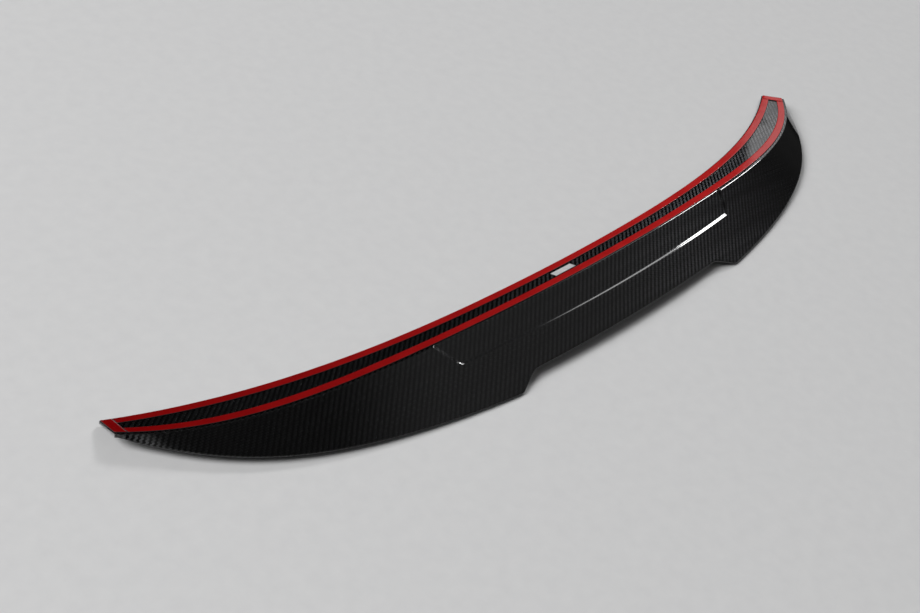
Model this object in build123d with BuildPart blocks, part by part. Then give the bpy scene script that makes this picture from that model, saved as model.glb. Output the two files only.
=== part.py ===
from build123d import *
from math import radians, sin
import os

# Boot-lid rear spoiler of carbon laminate. It lies upside down, on the corners of its trailing lip and
# on its two ends: X along the span, Y towards the front of the car, Z up, floor at Z = 0.

# Span and bow. A bowed line runs as middle + bow * share^2 + sweep * share^power, where share is the
# distance from the middle as a part of the half span.
span = 1200.0
half_span = span / 2
height_power = 2.3

# Ridge, where the bonding flange meets the rear face
ridge_y = -36.1
ridge_bow = 54.0
ridge_sweep = 58.0
ridge_power = 7
ridge_height = 41.7
ridge_drop = 26.6
ridge_radius = 2.0

# Leading edge, the front edge of the bonding flange
lead_y = 3.4
lead_bow = 55.5
lead_sweep = 51.5
lead_power = 4
lead_height = 28.5
lead_drop = 24.6
lead_thickness = 4.0

# Trailing lip
lip_y = -120.8
lip_bow = 113.0
lip_sweep = 86.5
lip_power = 8
lip_height = 0.6
lip_rise = 7.9
lip_thickness = 4.0
lip_chamfer = 1.2

# Hollow of the air-side skin, as a part of its chord
air_hollow = 0.055

# Ends, cut square to the tape frame in plan
end_corner_y = 80.1
end_slant = 11.0

# Set-back of the lip in the middle, measured on the rear face
notch_half_width = 176.0
notch_reach = 208.0
notch_line = 70.2
notch_bow = 4.4
notch_step = 16.0
notch_radius = 9.0
notch_edge_radius = 1.5

# Pocket in the rear face, open at the ridge
pocket_height = 33.2
pocket_bow = 2.6
pocket_depth = 1.6
pocket_wall = 4.0
pocket_half_top = 272.0
pocket_half_bottom = 255.5
pocket_corner_radius = 6.0

# Bonding tape, its release liner and the label
tape_width = 10.6
tape_thickness = 0.9
liner_thickness = 0.2
liner_gap = 0.1
liner_inset = 0.2
rear_margin = 3.7
front_margin = 2.0
end_margin = 1.2
end_cut_gap = 0.4
label_middle_x = -40.0
label_length = 35.0
label_width = 8.5
label_thickness = 0.2

# Construction allowances: overrun of cutting bodies and depth to which stuck pieces are first sunk
overrun = 6.0
sink = 0.6
half_stations = 8


def share(x):
    return abs(x) / half_span


def bowed(x, middle, bow, sweep, power):
    return middle + bow * share(x) ** 2 + sweep * share(x) ** power


def ridge_point(x):
    height = ridge_height - ridge_drop * share(x) ** height_power
    return Vector(bowed(x, ridge_y, ridge_bow, ridge_sweep, ridge_power), height)


def lead_point(x):
    height = lead_height - lead_drop * share(x) ** height_power
    return Vector(bowed(x, lead_y, lead_bow, lead_sweep, lead_power), height)


def lip_point(x):
    height = lip_height + lip_rise * share(x) ** height_power
    return Vector(bowed(x, lip_y, lip_bow, lip_sweep, lip_power), height)


def face_directions(x):
    """Up the rear face towards the ridge, and out of the rear face, in the section at x."""
    upward = (ridge_point(x) - lip_point(x)).normalized()
    return upward, Vector(-upward.Y, upward.X)


def flange_directions(x):
    """Across the flange towards the leading edge, and out of the flange, in the section at x."""
    forward = (lead_point(x) - ridge_point(x)).normalized()
    return forward, Vector(-forward.Y, forward.X)


def stations(reach):
    """Section planes along the span, closer together towards the ends."""
    steps = range(-half_stations, half_stations + 1)
    return [reach * sin(radians(90 * step / half_stations)) for step in steps]


def end_plane(side, inset):
    """Upright plane of the slanted end cut on one side, moved in from the end by inset."""
    outward = Vector(side, 0, 0).rotate(Axis.Z, side * end_slant)
    corner = Vector(side * half_span, end_corner_y, 0)
    return Plane(origin=corner - outward * inset, z_dir=outward)


def body_section(x):
    ridge = ridge_point(x)
    lead = lead_point(x)
    lip = lip_point(x)
    upward, outward = face_directions(x)
    flange_out = flange_directions(x)[1]
    half_edge = outward * (lip_thickness / 2 - lip_chamfer)
    lip_top = lip + upward * lip_chamfer + outward * (lip_thickness / 2)
    lip_bottom = lip + upward * lip_chamfer - outward * (lip_thickness / 2)
    lead_bottom = lead - flange_out * lead_thickness
    chord = lead_bottom - lip_bottom
    hollow = (lip_bottom + lead_bottom) * 0.5 + Vector(-chord.Y, chord.X) * air_hollow
    with BuildSketch(Plane.YZ.offset(x)) as section:
        with BuildLine():
            Polyline(lead, ridge, lip_top, lip + half_edge, lip - half_edge, lip_bottom)
            ThreePointArc(lip_bottom, hollow, lead_bottom)
            Line(lead_bottom, lead)
        make_face()
        fillet(section.vertices().sort_by(Axis.Y)[-1], ridge_radius)
    return section.sketch.face()


def pocket_section(x):
    ridge = ridge_point(x)
    upward, outward = face_directions(x)
    height = pocket_height - pocket_bow * (x / pocket_half_bottom) ** 2
    border = ridge - upward * height
    foot = border + upward * pocket_wall - outward * pocket_depth
    top = ridge + upward * overrun - outward * pocket_depth
    slope = (border - foot).normalized()
    with BuildSketch(Plane.YZ.offset(x)) as section:
        with BuildLine():
            Polyline(foot, top, top + outward * overrun, border + slope * overrun, close=True)
        make_face()
    return section.sketch.face()


def strip_section(x, start, finish, base, top):
    """Strip on the flange, from start to finish across it and from base to top above it."""
    ridge = ridge_point(x)
    forward, outward = flange_directions(x)
    near = ridge + forward * start
    far = ridge + forward * finish
    with BuildSketch(Plane.YZ.offset(x)) as section:
        with BuildLine():
            corners = (near + outward * base, far + outward * base, far + outward * top, near + outward * top)
            Polyline(*corners, close=True)
        make_face()
    return section.sketch.face()


def flange_width(x):
    return (lead_point(x) - ridge_point(x)).length


def rear_run(x, inset):
    """Start and finish of the rear tape run across the flange, drawn in by inset on both sides."""
    return rear_margin + inset, rear_margin + tape_width - inset


def front_run(x, inset):
    """Start and finish of the front tape run across the flange."""
    finish = flange_width(x) - front_margin
    return finish - tape_width + inset, finish - inset


def whole_width(x, inset):
    """Start and finish of the end strips, which reach across both runs."""
    return rear_margin + inset, flange_width(x) - front_margin - inset


# Plane of the rear face in the middle of the span, X along the span and Y up the face
middle_ridge = ridge_point(0)
middle_outward = face_directions(0)[1]
face_plane = Plane(
    origin=(0, middle_ridge.X, middle_ridge.Y),
    x_dir=(1, 0, 0),
    z_dir=(0, middle_outward.X, middle_outward.Y),
)

# Pocket body: a shallow slab under the rear face with sloped walls, later cut from the moulded body
pocket_reach = max(pocket_half_top, pocket_half_bottom) + 4 * overrun

with BuildPart() as pocket:
    loft(sections=[pocket_section(x) for x in stations(pocket_reach)])
    pocket_taper = pocket_half_top - pocket_half_bottom
    pocket_rise = pocket_height - pocket_bow
    for side in (-1, 1):
        top = ridge_point(pocket_half_top)
        corner = Vector(side * pocket_half_top, top.X, top.Y)
        across = face_plane.x_dir * (side * pocket_rise) - face_plane.y_dir * pocket_taper
        wall_out = across.normalized() * pocket_depth - face_plane.z_dir * pocket_wall
        split(bisect_by=Plane(origin=corner, z_dir=wall_out), keep=Keep.BOTTOM)
    up_face = Axis((0, 0, 0), face_plane.y_dir)
    side_walls = pocket.faces().filter_by(GeomType.PLANE)
    lower_corners = [wall.edges().sort_by(up_face)[0] for wall in side_walls]
    fillet(lower_corners, pocket_corner_radius)

# The moulded body: flange, rear face, lip and air-side skin in one closed section
notch_slope = notch_step / (notch_reach - notch_half_width)
notch_corner = notch_bow - notch_line
notch_bottom = -2 * notch_line
notch_outer = notch_half_width + (notch_corner - notch_bottom) / notch_slope

with BuildPart() as carbon_body:
    loft(sections=[body_section(x) for x in stations(half_span + overrun)])
    for side in (-1, 1):
        split(bisect_by=end_plane(side, 0), keep=Keep.BOTTOM)
    with BuildSketch(face_plane) as notch:
        with BuildLine():
            lip_line = ThreePointArc(
                (-notch_half_width, notch_corner), (0, -notch_line), (notch_half_width, notch_corner)
            )
            Polyline(lip_line @ 1, (notch_outer, notch_bottom), (-notch_outer, notch_bottom), lip_line @ 0)
        make_face()
        fillet(notch.vertices().group_by(Axis.Y)[-1], notch_radius)
    extrude(amount=span / 8, both=True, mode=Mode.SUBTRACT)
    notch_middle = face_plane.from_local_coords((0, -notch_line, 0))
    fillet(carbon_body.edges(Select.LAST).sort_by_distance(notch_middle)[0], notch_edge_radius)
    add(pocket.part, mode=Mode.SUBTRACT)
carbon_body.part.label = "carbon_body"

os.makedirs("parts", exist_ok=True)
export_step(carbon_body.part, "parts/carbon_body.step")

# Two long tape runs and the two end strips that close the frame, each with its liner on top
liner_base = tape_thickness + liner_gap
liner_top = liner_base + liner_thickness
run_end = end_margin + tape_width + end_cut_gap

run_stations = stations(half_span)

for name, extent in (("rear", rear_run), ("front", front_run)):
    with BuildPart() as tape:
        loft(sections=[strip_section(x, *extent(x, 0), -sink, tape_thickness) for x in run_stations])
        for side in (-1, 1):
            split(bisect_by=end_plane(side, run_end), keep=Keep.BOTTOM)
        add(carbon_body.part, mode=Mode.SUBTRACT)
    tape.part.label = name + "_tape"
    export_step(tape.part, "parts/" + name + "_tape.step")

    with BuildPart() as liner:
        extents = [(x, *extent(x, liner_inset)) for x in run_stations]
        loft(sections=[strip_section(*place, liner_base, liner_top) for place in extents])
        for side in (-1, 1):
            split(bisect_by=end_plane(side, run_end + liner_inset), keep=Keep.BOTTOM)
    liner.part.label = name + "_liner"
    export_step(liner.part, "parts/" + name + "_liner.step")

for name, side in (("left_end", -1), ("right_end", 1)):
    end_stations = [side * (half_span + overrun * step) for step in (-4, -2, 0, 1)]
    with BuildPart() as tape:
        loft(sections=[strip_section(x, *whole_width(x, 0), -sink, tape_thickness) for x in end_stations])
        split(bisect_by=end_plane(side, end_margin), keep=Keep.BOTTOM)
        split(bisect_by=end_plane(side, end_margin + tape_width), keep=Keep.TOP)
        add(carbon_body.part, mode=Mode.SUBTRACT)
    tape.part.label = name + "_tape"
    export_step(tape.part, "parts/" + name + "_tape.step")

    with BuildPart() as liner:
        extents = [(x, *whole_width(x, liner_inset)) for x in end_stations]
        loft(sections=[strip_section(*place, liner_base, liner_top) for place in extents])
        split(bisect_by=end_plane(side, end_margin + liner_inset), keep=Keep.BOTTOM)
        split(bisect_by=end_plane(side, end_margin + tape_width - liner_inset), keep=Keep.TOP)
    liner.part.label = name + "_liner"
    export_step(liner.part, "parts/" + name + "_liner.step")

# Sticker on the flange between the runs
with BuildPart() as label:
    label_sections = []
    for step in (-1, 0, 1):
        x = label_middle_x + step * label_length / 2
        start = (flange_width(x) + rear_margin - front_margin - label_width) / 2
        label_sections.append(strip_section(x, start, start + label_width, -sink, label_thickness))
    loft(sections=label_sections)
    add(carbon_body.part, mode=Mode.SUBTRACT)
label.part.label = "label"
export_step(label.part, "parts/label.step")
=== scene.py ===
import math

import bpy
import numpy as np
from mathutils import Matrix


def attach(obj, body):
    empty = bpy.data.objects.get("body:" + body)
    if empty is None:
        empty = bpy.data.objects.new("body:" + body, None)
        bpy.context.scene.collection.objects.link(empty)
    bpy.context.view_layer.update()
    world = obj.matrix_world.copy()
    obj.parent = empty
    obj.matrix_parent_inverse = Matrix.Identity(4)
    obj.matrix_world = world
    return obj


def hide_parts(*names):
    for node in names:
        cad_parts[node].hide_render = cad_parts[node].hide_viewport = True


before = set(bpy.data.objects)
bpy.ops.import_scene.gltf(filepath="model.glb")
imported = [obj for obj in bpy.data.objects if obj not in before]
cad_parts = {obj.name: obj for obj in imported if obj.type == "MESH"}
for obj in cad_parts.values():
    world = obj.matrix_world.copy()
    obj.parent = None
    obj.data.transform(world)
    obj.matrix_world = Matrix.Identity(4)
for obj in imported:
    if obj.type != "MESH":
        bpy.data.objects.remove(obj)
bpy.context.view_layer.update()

# Sizes in millimetres; the spoiler's lines have the same middle, bow and sweep as the solids

MM = 0.001
HALF = 600.0
HEIGHT_POWER = 2.3

RIDGE_Y, RIDGE_BOW, RIDGE_SWEEP, RIDGE_POWER = -36.1, 54.0, 58.0, 7
RIDGE_HEIGHT, RIDGE_DROP = 41.7, 26.6
RIDGE_RADIUS, RIDGE_RADIUS_SHARE = 2.0, 0.12

LEAD_Y, LEAD_BOW, LEAD_SWEEP, LEAD_POWER = 3.4, 55.5, 51.5, 4
LEAD_HEIGHT, LEAD_DROP = 28.5, 24.6
LEAD_THICKNESS, LEAD_RADIUS = 4.0, 1.0

LIP_Y, LIP_BOW, LIP_SWEEP, LIP_POWER = -120.8, 113.0, 86.5, 8
LIP_HEIGHT, LIP_RISE = 0.6, 7.9
LIP_THICKNESS, LIP_CHAMFER = 4.0, 1.2
LIP_RADIUS, LIP_RADIUS_SHARE = 1.95, 0.25
CURL_START, CURL_LENGTH, CURL_HEIGHT, CURL_POWER = 584.0, 16.0, 3.2, 2.2

AIR_HOLLOW = 0.055

NOTCH_HALF, NOTCH_LINE, NOTCH_BOW, NOTCH_SLOPE = 176.0, 70.2, 4.4, 0.5
NOTCH_INNER_BLEND, NOTCH_OUTER_BLEND = 1.4, 0.8

POCKET_HEIGHT, POCKET_BOW, POCKET_DEPTH = 33.2, 2.6, 1.85
POCKET_HALF_TOP, POCKET_HALF_BOTTOM, POCKET_CORNER = 272.0, 255.5, 6.0
POCKET_WALL_FROM, POCKET_WALL_TO = -0.7, 4.2

END_SLANT = math.radians(11.0)
END_Y = 80.1
END_RUN = 599.2
END_RADIUS = 0.9
SLANT_FROM, SLANT_TO = 430.0, 575.0

TAPE_WIDTH, TAPE_REAR_MARGIN, TAPE_FRONT_MARGIN = 10.6, 3.7, 2.0
TAPE_END_MARGIN, TAPE_END_GAP = 1.2, 0.4
LABEL_X, LABEL_LENGTH, LABEL_WIDTH = -40.0, 35.0, 8.5
LABEL_THICKNESS, LABEL_EDGE = 0.18, 0.08
EDGE_WAVE, TOP_WAVE = 0.14, 0.05

# Cloth: the flange's part lies FLANGE_T along in the weave coordinates, a whole number of repeats, so that
# the material can give the flange's tows more painted sheen

TOW = 1.935
FLANGE_SKEW = 0.274
FLANGE_T = TOW * 4 * 129
FLANGE_T_FROM = 500.0

# Length of a quarter round for each unit of its radius

QUARTER = 1.57


def smooth(a, b, x):
    t = np.clip((x - a) / (b - a), 0.0, 1.0)
    return t * t * (3.0 - 2.0 * t)


def soft_max(a, b, blend):
    return np.maximum(a, b) + blend * np.log1p(np.exp(-np.abs(a - b) / blend))


def unit(v):
    return v / np.linalg.norm(v, axis=-1, keepdims=True)


def turned(v):
    """Quarter turn in the section, from along a skin to out of it."""
    return np.stack([-v[..., 1], v[..., 0]], -1)


def rounded(start, knee, finish, k):
    """Point at share k of a quarter round from start to finish, whose end tangents meet in knee."""
    a = k * math.pi / 2
    return start + (knee - start) * math.sin(a) + (finish - knee) * (1 - math.cos(a))


def line_at(x, y, bow, sweep, power, height, rise):
    """Points (y, z) of one of the spoiler's lines, for stations x."""
    u = np.abs(x) / HALF
    return np.stack([y + bow * u**2 + sweep * u**power, height + rise * u**HEIGHT_POWER], -1)


def ridge_at(x):
    return line_at(x, RIDGE_Y, RIDGE_BOW, RIDGE_SWEEP, RIDGE_POWER, RIDGE_HEIGHT, -RIDGE_DROP)


def lead_at(x):
    return line_at(x, LEAD_Y, LEAD_BOW, LEAD_SWEEP, LEAD_POWER, LEAD_HEIGHT, -LEAD_DROP)


def lip_at(x):
    """The lip's line, which curls up at the very ends."""
    lip = line_at(x, LIP_Y, LIP_BOW, LIP_SWEEP, LIP_POWER, LIP_HEIGHT, LIP_RISE)
    lip[..., 1] += CURL_HEIGHT * np.clip((np.abs(x) - CURL_START) / CURL_LENGTH, 0.0, 1.2) ** CURL_POWER
    return lip


MID_RIDGE = ridge_at(np.zeros(1))[0]
MID_UP = unit(ridge_at(np.zeros(1)) - lip_at(np.zeros(1)))[0]


def pocket_depth(x, v):
    """Depth of the pocket under the rear face, with S-shaped walls, at v below the ridge."""
    below = POCKET_HEIGHT - POCKET_BOW * (x / POCKET_HALF_BOTTOM) ** 2 - v
    taper = (POCKET_HALF_TOP - POCKET_HALF_BOTTOM) / (POCKET_HEIGHT - POCKET_BOW)
    side = POCKET_HALF_TOP - taper * v - np.abs(x)
    dx = np.maximum(POCKET_CORNER - side, 0.0)
    dv = np.maximum(POCKET_CORNER - below, 0.0)
    inside = np.where((dx > 0) & (dv > 0), POCKET_CORNER - np.hypot(dx, dv), np.minimum(side, below))
    return POCKET_DEPTH * smooth(POCKET_WALL_FROM, POCKET_WALL_TO, inside)


def face_lengths(x):
    """Length of the rear face from the ridge to the lip, with the set-back in the middle and without it."""
    ridge = ridge_at(x)
    full = np.linalg.norm(ridge - lip_at(x), axis=-1)
    a = np.abs(x)
    bowed = NOTCH_LINE - NOTCH_BOW * (a / NOTCH_HALF) ** 2
    sloped = NOTCH_LINE - NOTCH_BOW + (a - NOTCH_HALF) * NOTCH_SLOPE
    cut = soft_max(bowed, sloped, NOTCH_INNER_BLEND) + (ridge - MID_RIDGE) @ MID_UP
    return -soft_max(-cut, -full, NOTCH_OUTER_BLEND), full


# One closed loop round the section; rows are shared by all stations, so the skin is one grid

ROW_RIDGE = 7
ROW_EDGE = 7
ROW_LEAD = 5
FLANGE_ROWS = np.concatenate([[0.0, 0.012, 0.035], np.linspace(0.08, 0.92, 16), [0.965, 0.988, 1.0]])
ROW_FLANGE = len(FLANGE_ROWS)
AIR_ROWS = np.concatenate([[0.0, 0.008, 0.025], np.linspace(0.07, 0.93, 20), [0.975, 0.992, 1.0]])
FACE_FINE = 35.0
FACE_ROWS = np.concatenate([
    [0.0, 0.35, 0.9], np.arange(2.0, 24.2, 1.1), np.arange(25.0, FACE_FINE + 0.1, 0.5),
    np.arange(37.0, 69.0, 2.7), [69.2, 69.65, 70.0],
])
EVEN_FROM, EVEN_TO = 285.0, 400.0


def section(x):
    """Rows of points (y, z) and their place along the cloth, for stations x."""
    x = np.asarray(x, float)
    ridge, lead, lip = ridge_at(x), lead_at(x), lip_at(x)
    lip_up = unit(ridge - lip)
    lip_out = turned(lip_up) * LIP_THICKNESS / 2
    lip_top = lip + lip_up * LIP_CHAMFER + lip_out
    up = unit(ridge - lip_top)
    out = turned(up)
    fwd = unit(lead - ridge)
    fout = turned(fwd)
    width = np.linalg.norm(lead - ridge, axis=-1)
    reach, full = face_lengths(x)
    turn = np.arccos(np.clip((up * fwd).sum(-1), -1, 1))
    sunk_ridge = pocket_depth(x, np.zeros_like(x))
    radius = np.minimum(RIDGE_RADIUS, full * RIDGE_RADIUS_SHARE)
    tangent = radius * np.tan(turn / 2)
    top = ridge + fwd * (sunk_ridge / np.sin(turn))[..., None]
    t0 = ridge[..., 0] - MID_RIDGE[0]
    rows = []
    cloth = []

    # flange, from the leading edge back to the ridge
    w0 = width - LEAD_RADIUS
    w1 = sunk_ridge / np.sin(turn) + tangent
    for k in FLANGE_ROWS:
        w = w0 + (w1 - w0) * k
        rows.append(ridge + fwd * w[..., None])
        cloth.append(t0 + w)

    # rounded ridge, from the flange to the rear face
    start = top - up * tangent[..., None]
    for k in np.linspace(1.0, 0.0, ROW_RIDGE + 2)[1:-1]:
        a = (turn * k)[..., None]
        rows.append(start + radius[..., None] * (np.sin(a) * up - (1 - np.cos(a)) * out))
        cloth.append(t0 + w1 - (1 - k) * (w1 + tangent))

    # rear face with its pocket; towards the ends the rows are spread evenly
    edge = np.minimum(LIP_RADIUS, reach * LIP_RADIUS_SHARE)
    v0 = tangent - sunk_ridge / np.tan(turn)
    v1 = reach - edge
    last_row = FACE_ROWS[-1]
    even = smooth(EVEN_FROM, EVEN_TO, np.abs(x))
    for b in FACE_ROWS:
        if b <= FACE_FINE:
            v = b + v0 * (1 - b / FACE_FINE)
        else:
            v = FACE_FINE + (v1 - FACE_FINE) * (b - FACE_FINE) / (last_row - FACE_FINE)
        v = v * (1 - even) + (v0 + (v1 - v0) * b / last_row) * even
        rows.append(ridge - up * v[..., None] - out * pocket_depth(x, v)[..., None])
        cloth.append(t0 - v)

    # air-side skin: a hollow arc from the lip to the leading edge
    lip_bottom = lip + lip_up * LIP_CHAMFER - lip_out
    lead_bottom = lead - fout * LEAD_THICKNESS
    chord = lead_bottom - lip_bottom
    length = np.linalg.norm(chord, axis=-1)
    above = turned(chord / length[..., None])
    arc = length * (1 + 4 * AIR_HOLLOW**2) / (8 * AIR_HOLLOW)

    def air(q):
        lift = np.sqrt(arc**2 - (length * (q - 0.5)) ** 2) - (arc - AIR_HOLLOW * length)
        return lip_bottom + chord * q[..., None] + above * lift[..., None]

    # where the lip edge, square to the rear face, leaves the air-side skin
    tip = ridge - up * reach[..., None]
    low = np.full_like(x, -0.02)
    high = np.full_like(x, 0.6)
    for _ in range(40):
        mid = (low + high) / 2
        ahead = ((air(mid) - tip) * up).sum(-1) > 0
        high = np.where(ahead, mid, high)
        low = np.where(ahead, low, mid)
    q0 = np.maximum((low + high) / 2, 0.0)
    q1 = q0 + edge / length
    foot = air(q0)
    thick = np.linalg.norm(foot - tip, axis=-1)
    drop = np.minimum(edge, thick * 0.49)
    wall = unit(foot - tip) * drop[..., None]

    # lip edge: a round over the rear face, a short wall and a round under it
    wall_t = t0 - v1 - edge * QUARTER - (thick - 2 * drop)
    shares = np.linspace(0.0, 1.0, ROW_EDGE + 1)
    for k in shares[1:]:
        rows.append(rounded(tip + up * edge[..., None], tip, tip + wall, k))
        cloth.append(t0 - v1 - k * edge * QUARTER)
    for k in shares[:-1]:
        rows.append(rounded(foot - wall, foot, air(q1), k))
        cloth.append(wall_t - k * edge * QUARTER)
    edge_t = wall_t - edge * QUARTER

    # rows of the air-side skin
    lead_q = 1.0 - LEAD_RADIUS / length
    for k in AIR_ROWS:
        q = q1 + (lead_q - q1) * k
        rows.append(air(q))
        cloth.append(edge_t - (q - q1) * length)
    air_t = cloth[-1]

    # leading edge: two small rounds and the wall between them
    last, first = rows[-1], rows[0]
    upper_t = air_t - QUARTER * LEAD_RADIUS - (LEAD_THICKNESS - 2 * LEAD_RADIUS)
    shares = np.linspace(0.0, 1.0, ROW_LEAD + 1)
    for k in shares[1:]:
        rows.append(rounded(last, lead_bottom, lead_bottom + fout * LEAD_RADIUS, k))
        cloth.append(air_t - k * QUARTER * LEAD_RADIUS)
    for k in shares[:-1]:
        rows.append(rounded(lead - fout * LEAD_RADIUS, lead, first, k))
        cloth.append(upper_t - k * QUARTER * LEAD_RADIUS)
    return np.stack(rows, 0), np.stack(cloth, 0)


def stations():
    """Places along the span: close together at the pocket's sides, the set-back's corners and the ends."""
    half = np.concatenate([
        np.arange(0.0, 156.0, 4.5), np.arange(157.0, 193.0, 1.5), np.arange(194.0, 200.0, 2.0),
        np.arange(200.5, 216.0, 1.0), np.arange(219.0, 247.0, 4.0), np.arange(248.0, 279.0, 0.7),
        np.arange(282.0, 560.0, 4.4), np.arange(560.0, 597.0, 2.2),
        END_RUN - np.array([1.8, 1.3, 1.0, 0.7, 0.45, 0.25, 0.1, 0.0]),
    ])
    return np.concatenate([-half[:0:-1], half])


def slanted(run, y_at):
    """Plan place of points at run, where the stations near the ends lie along the slanted end cut."""
    weight = smooth(SLANT_FROM, SLANT_TO, np.abs(run))
    x = np.array(run, float)
    for _ in range(8):
        x = run - np.sign(run) * weight * (y_at(x) - END_Y) * math.tan(END_SLANT)
    return x


def skin():
    """Grid of the body's points, rows by stations, with the cloth coordinates."""
    run = stations()
    flat, cloth = section(run)
    pts = np.concatenate([np.repeat(run[None, :, None], len(flat), 0), flat], -1)
    ends = np.abs(run) > SLANT_FROM
    for r in range(len(flat)):
        x = slanted(run[ends], lambda at: section(at)[0][r, :, 0])
        p, c = section(x)
        pts[r, ends, 0] = x
        pts[r, ends, 1:] = p[r]
        cloth[r, ends] = c[r]
    return run, pts, cloth


def round_ends(run, pts, radius):
    """Draws the last stations in, so that the end edges are rounded."""
    depth = (END_RUN - np.abs(run)) * math.cos(END_SLANT)
    for i in np.nonzero(depth < radius)[0]:
        loop = pts[:, i, 1:]
        inward = turned(unit(np.roll(loop, -1, 0) - np.roll(loop, 1, 0)))
        if ((loop.mean(0) - loop) * inward).sum() < 0:
            inward = -inward
        d = radius - math.sqrt(max(radius**2 - (radius - depth[i]) ** 2, 0.0))
        pts[:, i, 1:] = loop + inward * d


def mesh_object(name, verts, faces, uvs=None):
    me = bpy.data.meshes.new(name)
    me.from_pydata([tuple(v) for v in verts], [], faces)
    for layer, values in (uvs or {}).items():
        uv = me.uv_layers.new(name=layer)
        uv.data.foreach_set("uv", np.asarray(values, np.float32).ravel())
    me.polygons.foreach_set("use_smooth", np.ones(len(me.polygons), bool))
    me.update()
    ob = bpy.data.objects.new(name, me)
    bpy.context.scene.collection.objects.link(ob)
    return ob


def body_piece():
    """The carbon body as one closed skin, with the cloth's coordinates in its UV map."""
    run, pts, cloth = skin()
    round_ends(run, pts, END_RADIUS)
    rows, cols = pts.shape[:2]
    faces = []
    weave = []
    total = cloth[0] - cloth[-1] + QUARTER * LEAD_RADIUS / ROW_LEAD
    # on the flange the cloth is drawn askew, more with the distance from the ridge
    flange = slice(0, ROW_FLANGE)
    askew = np.zeros_like(cloth)
    askew[flange] = FLANGE_SKEW * (cloth[flange] - ridge_at(pts[flange, :, 0])[..., 0] + MID_RIDGE[0])
    for r in range(rows):
        n = (r + 1) % rows
        for c in range(cols - 1):
            quad = [(r, c), (n, c), (n, c + 1), (r, c + 1)]
            faces.append([i * cols + j for i, j in quad])
            for i, j in quad:
                s, t = pts[i, j, 0] - askew[i, j], cloth[i, j]
                if n == 0:
                    s = pts[i, j, 0]
                    t = t - total[j] * (i == 0)
                elif r < ROW_FLANGE - 1:
                    t = t + FLANGE_T
                weave.append((s * MM, t * MM))
    for c, order in ((0, -1), (cols - 1, 1)):
        loop = list(range(rows))[::order]
        faces.append([r * cols + c for r in loop])
        weave.extend((pts[r, c, 1] * MM, pts[r, c, 2] * MM) for r in loop)
    return mesh_object("carbon_spoiler", (pts * MM).reshape(-1, 3), faces, {"weave": weave})


# Node helpers

def new_material(name):
    m = bpy.data.materials.new(name)
    m.use_nodes = True
    nt = m.node_tree
    nt.nodes.clear()
    out = nt.nodes.new("ShaderNodeOutputMaterial")
    bsdf = nt.nodes.new("ShaderNodeBsdfPrincipled")
    nt.links.new(bsdf.outputs[0], out.inputs["Surface"])
    return m, nt, bsdf


class Nodes:
    """Short names for the node kinds used here; an input is a number, a colour or another output."""

    def __init__(self, nt):
        self.nt = nt

    def put(self, socket, value):
        if isinstance(value, bpy.types.NodeSocket):
            self.nt.links.new(value, socket)
        else:
            socket.default_value = value

    def math(self, op, a, b=None):
        n = self.nt.nodes.new("ShaderNodeMath")
        n.operation = op
        for i, v in enumerate((a, b)):
            if v is not None:
                self.put(n.inputs[i], v)
        return n.outputs[0]

    def mix(self, fac, a, b):
        n = self.nt.nodes.new("ShaderNodeMix")
        n.data_type = "RGBA"
        self.put(n.inputs["Factor"], fac)
        self.put(n.inputs[6], a)
        self.put(n.inputs[7], b)
        return n.outputs[2]

    def blend(self, fac, a, b):
        n = self.nt.nodes.new("ShaderNodeMix")
        self.put(n.inputs["Factor"], fac)
        self.put(n.inputs[2], a)
        self.put(n.inputs[3], b)
        return n.outputs[0]

    def noise(self, vector, scale, detail):
        n = self.nt.nodes.new("ShaderNodeTexNoise")
        self.put(n.inputs["Vector"], vector)
        n.inputs["Scale"].default_value = scale
        n.inputs["Detail"].default_value = detail
        return n.outputs[0]

    def white(self, w):
        n = self.nt.nodes.new("ShaderNodeTexWhiteNoise")
        n.noise_dimensions = "1D"
        self.put(n.inputs["W"], w)
        return n.outputs["Value"]

    def xyz(self, x, y, z=0.0):
        n = self.nt.nodes.new("ShaderNodeCombineXYZ")
        for i, v in enumerate((x, y, z)):
            self.put(n.inputs[i], v)
        return n.outputs[0]

    def split(self, vector):
        n = self.nt.nodes.new("ShaderNodeSeparateXYZ")
        self.put(n.inputs[0], vector)
        return n.outputs

    def along(self, vector, axis):
        n = self.nt.nodes.new("ShaderNodeVectorMath")
        n.operation = "DOT_PRODUCT"
        self.put(n.inputs[0], vector)
        n.inputs[1].default_value = axis
        return n.outputs["Value"]

    def uv(self, name):
        n = self.nt.nodes.new("ShaderNodeUVMap")
        n.uv_map = name
        return n.outputs[0]

    def place(self):
        return self.nt.nodes.new("ShaderNodeTexCoord").outputs["Object"]

    def ramp(self, value, low, high, a=0.0, b=1.0):
        n = self.nt.nodes.new("ShaderNodeMapRange")
        n.interpolation_type = "SMOOTHSTEP"
        self.put(n.inputs[0], value)
        for i, v in enumerate((low, high, a, b)):
            n.inputs[i + 1].default_value = v
        return n.outputs[0]

    def bump(self, height, strength, distance):
        n = self.nt.nodes.new("ShaderNodeBump")
        n.inputs["Strength"].default_value = strength
        n.inputs["Distance"].default_value = distance
        self.put(n.inputs["Height"], height)
        return n.outputs[0]


# Materials

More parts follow.
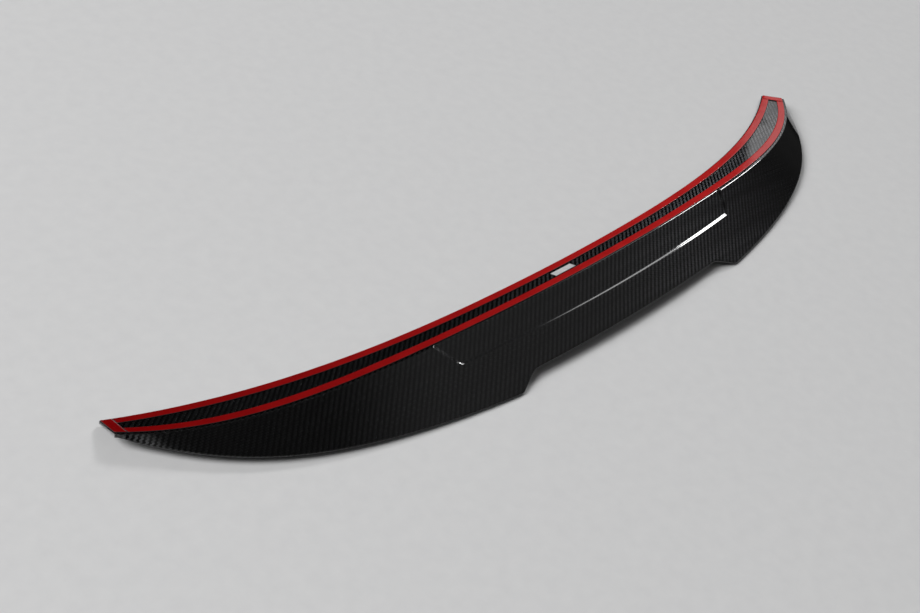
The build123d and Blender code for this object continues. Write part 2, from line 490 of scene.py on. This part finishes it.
def carbon_material():
    """2 x 2 twill of carbon tows under a clear gloss coat."""
    m, nt, bsdf = new_material("carbon_twill")
    k = Nodes(nt)
    tow = TOW * MM
    s, t, _ = k.split(k.uv("weave"))
    drift_s = k.noise(k.xyz(s, t), 9.0, 1.0)
    drift_t = k.noise(k.xyz(t, s, 3.0), 9.0, 1.0)
    a = k.math("ADD", k.math("DIVIDE", s, tow), k.math("MULTIPLY", drift_s, 1.1))
    b = k.math("ADD", k.math("DIVIDE", t, tow), k.math("MULTIPLY", drift_t, 1.1))
    i = k.math("FLOOR", a)
    j = k.math("FLOOR", b)
    phase = k.math("FLOORED_MODULO", k.math("SUBTRACT", i, j), 4.0)
    across = k.math("LESS_THAN", phase, 1.5)
    mid_a = k.math("ABSOLUTE", k.math("SUBTRACT", k.math("SUBTRACT", a, i), 0.5))
    mid_b = k.math("ABSOLUTE", k.math("SUBTRACT", k.math("SUBTRACT", b, j), 0.5))
    off = k.blend(across, mid_b, mid_a)
    crown = k.math("SUBTRACT", 1.0, k.math("POWER", k.math("MULTIPLY", off, 2.0), 2.4))
    gap = k.ramp(off, 0.40, 0.5, 1.0, 0.35)
    # fine filaments along each tow
    dense, sparse = 9000.0, 260.0
    hair_a = k.noise(k.xyz(k.math("MULTIPLY", s, dense), k.math("MULTIPLY", t, sparse)), 1.0, 2.0)
    hair_b = k.noise(k.xyz(k.math("MULTIPLY", s, sparse), k.math("MULTIPLY", t, dense), 5.0), 1.0, 2.0)
    hair = k.ramp(k.blend(across, hair_b, hair_a), 0.25, 0.75, 0.72, 1.25)
    lot = k.blend(across, k.white(j), k.white(k.math("ADD", i, 57.3)))
    lot = k.ramp(lot, 0.0, 1.0, 0.86, 1.14)
    tone = k.math("MULTIPLY", k.math("MULTIPLY", hair, lot), gap)
    # painted sheen: the tows along the span get a brighter colour than the tows across, for the light they
    # catch; on the flange they are painted brighter still, a painted highlight where the window's light
    # falls
    painted_sheen = k.blend(k.math("GREATER_THAN", t, FLANGE_T_FROM * MM), 0.040, 0.061)
    level = k.math("MULTIPLY", tone, k.blend(across, painted_sheen, 0.013))
    colour = nt.nodes.new("ShaderNodeCombineColor")
    k.put(colour.inputs[0], level)
    k.put(colour.inputs[1], level)
    k.put(colour.inputs[2], k.math("MULTIPLY", level, 1.03))
    k.put(bsdf.inputs["Base Color"], colour.outputs[0])
    bsdf.inputs["Metallic"].default_value = 1.0
    bsdf.inputs["Specular Tint"].default_value = (0.12, 0.12, 0.12, 1)
    k.put(bsdf.inputs["Roughness"], k.ramp(hair, 0.7, 1.25, 0.42, 0.34))
    # each tow spreads light across its fibres and hardly along them
    run = nt.nodes.new("ShaderNodeTangent")
    run.direction_type = "UV_MAP"
    run.uv_map = "weave"
    k.put(bsdf.inputs["Tangent"], run.outputs[0])
    bsdf.inputs["Anisotropic"].default_value = 0.95
    k.put(bsdf.inputs["Anisotropic Rotation"], k.blend(across, 0.25, 0.0))
    k.put(bsdf.inputs["Normal"], k.bump(crown, 0.35, 0.00012))
    bsdf.inputs["Coat Weight"].default_value = 1.0
    bsdf.inputs["Coat Roughness"].default_value = 0.035
    bsdf.inputs["Coat IOR"].default_value = 1.5
    peel = k.noise(k.place(), 130.0, 1.0)
    k.put(bsdf.inputs["Coat Normal"], k.bump(peel, 0.02, 0.0006))
    return m


def foam_material():
    """Closed-cell acrylic foam, seen at its cut edge."""
    m, nt, bsdf = new_material("foam_edge")
    k = Nodes(nt)
    cells = nt.nodes.new("ShaderNodeTexVoronoi")
    cells.inputs["Scale"].default_value = 2600.0
    k.put(cells.inputs["Vector"], k.place())
    pores = k.ramp(cells.outputs["Distance"], 0.1, 0.7)
    dark, light = (0.010, 0.010, 0.011, 1), (0.026, 0.026, 0.028, 1)
    k.put(bsdf.inputs["Base Color"], k.mix(pores, dark, light))
    bsdf.inputs["Roughness"].default_value = 0.85
    k.put(bsdf.inputs["Normal"], k.bump(pores, 0.4, 0.00015))
    return m


def film_material():
    """Red polyethylene release film: satin gloss, slightly uneven where it is stuck down."""
    m, nt, bsdf = new_material("red_film")
    k = Nodes(nt)
    place = k.place()
    cloud = k.noise(place, 34.0, 3.0)
    fine = k.noise(place, 420.0, 2.0)
    tone = k.math("ADD", k.math("MULTIPLY", cloud, 0.7), k.math("MULTIPLY", fine, 0.3))
    tone = k.ramp(tone, 0.3, 0.7)
    # painted shade: the red is painted darker towards the left end, where the light falls off, and the
    # clear red is the lit one towards the right
    shaded_red = k.mix(tone, (0.150, 0.0012, 0.0018, 1), (0.185, 0.0020, 0.0022, 1))
    clear = k.mix(tone, (0.400, 0.0110, 0.0110, 1), (0.480, 0.0160, 0.0160, 1))
    k.put(bsdf.inputs["Base Color"], k.mix(k.ramp(k.split(place)[0], -0.65, 0.45), shaded_red, clear))
    k.put(bsdf.inputs["Roughness"], k.ramp(fine, 0.3, 0.7, 0.10, 0.12))
    bsdf.inputs["Specular IOR Level"].default_value = 0.22
    ripple = k.math("ADD", k.noise(place, 70.0, 2.0), k.math("MULTIPLY", fine, 0.25))
    k.put(bsdf.inputs["Normal"], k.bump(ripple, 0.04, 0.002))
    return m


def label_material():
    """Blank white vinyl sticker with a soft, slightly clouded sheen."""
    m, nt, bsdf = new_material("white_vinyl")
    k = Nodes(nt)
    place = k.place()
    cloud = k.noise(place, 120.0, 3.0)
    dull, white = (0.46, 0.46, 0.47, 1), (0.55, 0.55, 0.55, 1)
    k.put(bsdf.inputs["Base Color"], k.mix(k.ramp(cloud, 0.35, 0.7), dull, white))
    k.put(bsdf.inputs["Roughness"], k.ramp(cloud, 0.3, 0.7, 0.28, 0.40))
    k.put(bsdf.inputs["Normal"], k.bump(k.noise(place, 600.0, 2.0), 0.08, 0.0004))
    return m


def floor_material():
    m, nt, bsdf = new_material("pale_floor")
    k = Nodes(nt)
    grain = k.noise(k.place(), 60.0, 4.0)
    k.put(bsdf.inputs["Base Color"], k.mix(grain, (0.60, 0.60, 0.605, 1), (0.66, 0.66, 0.66, 1)))
    bsdf.inputs["Roughness"].default_value = 0.75
    bsdf.inputs["Specular IOR Level"].default_value = 0.2
    return m


def dress(ob, material, node):
    ob.data.materials.append(material)
    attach(ob, "root")
    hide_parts(node)


dress(body_piece(), carbon_material(), "carbon_body")

# Bonding tape, release liners and the label, on the flange

def flange_frame(x):
    ridge = ridge_at(x)
    across = lead_at(x) - ridge
    width = np.linalg.norm(across, axis=-1)
    fwd = across / width[..., None]
    return ridge, fwd, turned(fwd), width


def wave(x, size, phase):
    """Hand-laid unevenness along a strip."""
    long, short, fine = np.sin(x / 47.0 + phase), np.sin(x / 21.0 + 2.3 * phase), np.sin(x / 9.7 + phase)
    return size * (long + 0.6 * short + 0.4 * fine) / 2


def strip_profile(soft):
    """Points round a strip with round upper edges: share and offset across it, share and offset up it."""
    quarter = [i / 4 * math.pi / 2 for i in range(5)]
    points = [(0.0, 0.0, 0.0, 0.0), (1.0, 0.0, 0.0, 0.0)]
    points += [(1.0, -soft * (1 - math.cos(a)), 1.0, -soft * (1 - math.sin(a))) for a in quarter]
    points += [(1.0 - i / 8, 0.0, 1.0, 0.0) for i in range(1, 8)]
    points += [(0.0, soft * (1 - math.sin(a)), 1.0, -soft * (1 - math.cos(a))) for a in quarter]
    return points


def strip_piece(name, run, start, finish, base, top, soft, phase):
    """A thin strip along the flange; start and finish give its edges across the flange from its width."""
    rows = []
    for across, shift, up, lift in strip_profile(soft):
        def w_at(x, width):
            a = start(width) + wave(x, EDGE_WAVE, phase)
            b = finish(width) + wave(x, EDGE_WAVE, phase + 1.9)
            return (a + (b - a) * across + shift)[..., None]

        def y_at(x):
            ridge, fwd, out, width = flange_frame(x)
            return (ridge + fwd * w_at(x, width) + out * (base + (top - base) * up))[..., 0]

        x = slanted(run, y_at)
        ridge, fwd, out, width = flange_frame(x)
        h = base + (top + wave(x, TOP_WAVE, phase + 4.0) - base) * up + lift
        p = ridge + fwd * w_at(x, width) + out * h[..., None]
        rows.append(np.concatenate([x[:, None], p], -1))
    pts = np.stack(rows, 0)
    count, cols = pts.shape[:2]
    faces = []
    for r in range(count):
        n = (r + 1) % count
        for c in range(cols - 1):
            faces.append([r * cols + c + 1, n * cols + c + 1, n * cols + c, r * cols + c])
    faces.append([r * cols for r in range(count)])
    faces.append([r * cols + cols - 1 for r in range(count)][::-1])
    ob = mesh_object(name, (pts * MM).reshape(-1, 3), faces)
    for face in ob.data.polygons[len(faces) - 2:]:
        face.use_smooth = False
    return ob


def inset_run(inset):
    return HALF - inset / math.cos(END_SLANT)


def rear_start(width):
    return TAPE_REAR_MARGIN


def rear_finish(width):
    return TAPE_REAR_MARGIN + TAPE_WIDTH


def front_start(width):
    return width - TAPE_FRONT_MARGIN - TAPE_WIDTH


def front_finish(width):
    return width - TAPE_FRONT_MARGIN


# kind, slot, material, inset at the edges, underside, top, roundness of the upper edges
LAYERS = (
    ("tape", "foam_tape", foam_material(), 0.0, 0.0, 0.93, 0.12),
    ("liner", "red_liner", film_material(), 0.2, 0.98, 1.16, 0.07),
)


def layers_of(name, run_at, start, finish, phase):
    """The tape of one strip and the liner on it; run_at gives the stations from the inset."""
    for kind, slot, material, inset, base, top, soft in LAYERS:
        ob = strip_piece(
            name + "_" + kind + "_strip", run_at(inset),
            lambda width: start(width) + inset, lambda width: finish(width) - inset,
            base, top, soft, phase,
        )
        dress(ob, material, name + "_" + kind)


def long_run(inset):
    reach = inset_run(TAPE_END_MARGIN + TAPE_WIDTH + TAPE_END_GAP) - inset
    close = np.array([571.0, 574.0, 577.0, 580.0, 583.0, 585.5])
    return np.concatenate([[-reach], -close[::-1], np.arange(-568.0, 568.1, 4.0), close, [reach]])


def right_run(inset):
    inner = inset_run(TAPE_END_MARGIN + TAPE_WIDTH - inset)
    return np.linspace(inner, inset_run(TAPE_END_MARGIN + inset), 9)


def left_run(inset):
    return -right_run(inset)[::-1]


layers_of("rear", long_run, rear_start, rear_finish, 0.0)
layers_of("front", long_run, front_start, front_finish, 1.3)
layers_of("left_end", left_run, rear_start, front_finish, 3.1)
layers_of("right_end", right_run, rear_start, front_finish, 4.1)


def label_start(width):
    return (rear_start(width) + front_finish(width) - LABEL_WIDTH) / 2


def label_finish(width):
    return (rear_start(width) + front_finish(width) + LABEL_WIDTH) / 2


label_run = np.linspace(LABEL_X - LABEL_LENGTH / 2, LABEL_X + LABEL_LENGTH / 2, 15)
label = strip_piece(
    "label_sticker", label_run, label_start, label_finish, 0.0, LABEL_THICKNESS, LABEL_EDGE, 0.4,
)
dress(label, label_material(), "label")

# Floor

bpy.ops.mesh.primitive_grid_add(x_subdivisions=8, y_subdivisions=8, size=24.0, location=(0, 0, -0.0004))
floor = bpy.context.object
floor.name = "floor"
floor.data.materials.append(floor_material())

# Light: a dim sky with a window and small patches of light, and two lamps

WINDOW = ((25.2, 13.8, 7.75, 7.6, 0.03), (34.5, 20.5, 7.0, 4.35, 0.06))
WINDOW_LEVEL = 0.84
# place and size of a patch, as for glow, and its level
PATCHES = (
    ((-10.0, 13.0, 3.5, 3.5, 0.4), 0.6),
    ((1.0, 11.0, 8.0, 8.0, 0.6), 0.04),
    ((9.5, 30.0, 2.5, 7.0, 0.3), 6.0),
    ((29.5, 29.5, 4.5, 4.0, 0.4), 3.5),
)

scene = bpy.context.scene
scene.world = bpy.data.worlds.new("studio")
scene.world.use_nodes = True
wt = scene.world.node_tree
wk = Nodes(wt)
sky = wt.nodes.new("ShaderNodeTexCoord").outputs["Generated"]


def glow(azimuth, elevation, wide, tall, edge):
    """Patch of light in the sky, 1 in its middle, in degrees; azimuth runs from +X towards +Y."""
    a, e = math.radians(azimuth), math.radians(elevation)
    ahead = wk.along(sky, (math.cos(e) * math.cos(a), math.cos(e) * math.sin(a), math.sin(e)))
    side = wk.along(sky, (-math.sin(a), math.cos(a), 0.0))
    over = wk.along(sky, (-math.sin(e) * math.cos(a), -math.sin(e) * math.sin(a), math.cos(e)))
    u = wk.math("DIVIDE", side, math.sin(math.radians(wide)))
    v = wk.math("DIVIDE", over, math.sin(math.radians(tall)))
    r = wk.math("SQRT", wk.math("ADD", wk.math("MULTIPLY", u, u), wk.math("MULTIPLY", v, v)))
    # the same patch isn't lit on the far side of the sky
    r = wk.math("ADD", r, wk.math("MULTIPLY", wk.math("LESS_THAN", ahead, 0.0), 9.0))
    return wk.ramp(r, 1.0 - edge, 1.0 + edge, 1.0, 0.0)


_, front_back, height = wk.split(sky)
light = wk.math("MULTIPLY", wk.ramp(height, 0.2, 0.82, 0.01, 0.215), wk.ramp(height, 0.80, 0.91, 1.0, 0.2))
light = wk.math("MULTIPLY", light, wk.ramp(front_back, 0.05, 0.40, 1.0, 0.4))
panes = wk.math("MAXIMUM", glow(*WINDOW[0]), glow(*WINDOW[1]))
light = wk.math("ADD", light, wk.math("MULTIPLY", panes, WINDOW_LEVEL))
for patch, level in PATCHES:
    light = wk.math("ADD", light, wk.math("MULTIPLY", glow(*patch), level))
wt.links.new(light, wt.nodes["Background"].inputs[1])
wt.nodes["Background"].inputs[0].default_value = (1.0, 1.0, 1.0, 1)


def stand(ob, right, up, back, place):
    """Links an object into the scene at place, with the given axes."""
    scene.collection.objects.link(ob)
    ob.matrix_world = Matrix([(right[i], up[i], back[i], place[i]) for i in range(3)] + [(0, 0, 0, 1)])


def lamp(name, place, size, radiance, shape):
    """A soft box that faces the spoiler and whose face has the given radiance."""
    data = bpy.data.lights.new(name, "AREA")
    data.shape = shape
    data.size, data.size_y = size
    fill = math.pi / 4 if shape == "ELLIPSE" else 1.0
    data.energy = radiance * math.pi * size[0] * size[1] * fill
    back = unit(np.array(place, float))
    side = unit(np.cross((0, 0, 1), back))
    stand(bpy.data.objects.new(name, data), side, np.cross(back, side), back, place)


lamp("key", (-6.4, 3.7, 6.7), (6.5, 6.5), 7.7, "RECTANGLE")
lamp("strip", (16.70, 5.75, 9.39), (3.85, 3.5), 37.0, "ELLIPSE")

# Camera, at the photo's viewing angle

CAMERA_PLACE = (-1.3503, -0.7239, 1.0691)
CAMERA_RIGHT = np.array((0.65227, -0.72663, 0.21577))
CAMERA_DOWN = np.array((-0.34642, -0.53896, -0.76780))

cam_data = bpy.data.cameras.new("camera")
cam_data.sensor_width = 36.0
cam_data.lens = 62.609
camera = bpy.data.objects.new("camera", cam_data)
stand(camera, CAMERA_RIGHT, -CAMERA_DOWN, -np.cross(CAMERA_RIGHT, CAMERA_DOWN), CAMERA_PLACE)
scene.camera = camera

scene.view_settings.view_transform = "Standard"
